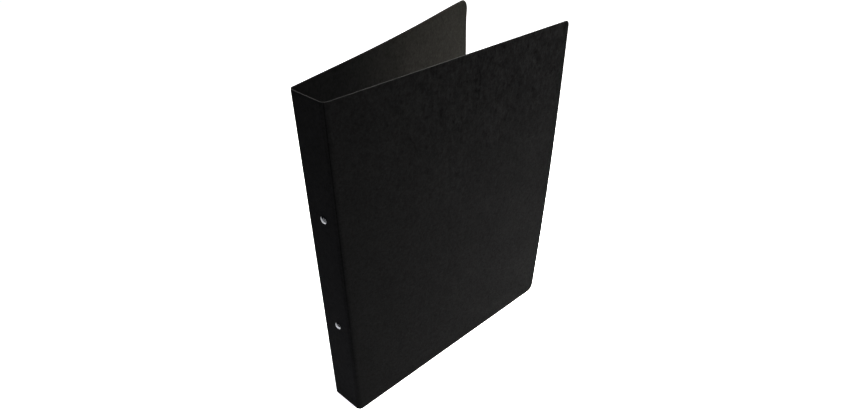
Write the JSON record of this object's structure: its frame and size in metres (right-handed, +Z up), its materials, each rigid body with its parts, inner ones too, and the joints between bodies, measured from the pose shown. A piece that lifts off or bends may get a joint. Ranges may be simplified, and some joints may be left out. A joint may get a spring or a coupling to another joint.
{
  "type": "ring binder",
  "caption": "Upright A4 two-ring binder of black mottled pressboard: one sheet creased round a spine, with a riveted snap ring mechanism inside.",
  "frame": {"origin": "middle of the spine's bottom edge, half way through the board, on the surface that the binder stands on", "axes": "+Z up along the spine; +X across the spine towards the front cover; +Y from the spine into the binder, the way the covers reach"},
  "size_m": [0.1166, 0.2696, 0.32],
  "materials": {
    "pressboard": "satin",
    "housing_plate": "satin",
    "blade_plate": "satin",
    "ring_wire": "polished",
    "rivet_nickel": "satin"
  },
  "bodies": {
    "spine": {"spine": "pressboard", "front_crease": "pressboard", "back_crease": "pressboard", "housing": "housing_plate", "upper_rivet": "rivet_nickel", "lower_rivet": "rivet_nickel"},
    "front_cover": {"front_cover": "pressboard"},
    "back_cover": {"back_cover": "pressboard"},
    "right_rings": {"right_blade": "blade_plate", "upper_right_ring": "ring_wire", "lower_right_ring": "ring_wire"},
    "left_rings": {"left_blade": "blade_plate", "upper_left_ring": "ring_wire", "lower_left_ring": "ring_wire"}
  },
  "joints": [
    {"name": "front_crease_hinge", "type": "hinge", "parent": "spine", "child": "front_cover", "pos_m": [0.01765, 0.00086, 0.16], "axis": [0, 0, -1], "range_deg": [-3.9, 176.1], "deforming": ["front_crease"]},
    {"name": "back_crease_hinge", "type": "hinge", "parent": "spine", "child": "back_cover", "pos_m": [-0.01765, 0.00079, 0.16], "axis": [0, 0, 1], "range_deg": [-10.65, 169.35], "deforming": ["back_crease"]},
    {"name": "right_rings_open", "type": "hinge", "parent": "spine", "child": "right_rings", "pos_m": [0.0092, 0.0021, 0.163], "axis": [0, 0, -1], "range_deg": [0, 15]},
    {"name": "left_rings_open", "type": "hinge", "parent": "spine", "child": "left_rings", "pos_m": [-0.0052, 0.0021, 0.163], "axis": [0, 0, 1], "range_deg": [0, 15]}
  ],
  "couplings": [
    {"joint": "left_rings_open", "follows": "right_rings_open", "ratio": 1}
  ]
}
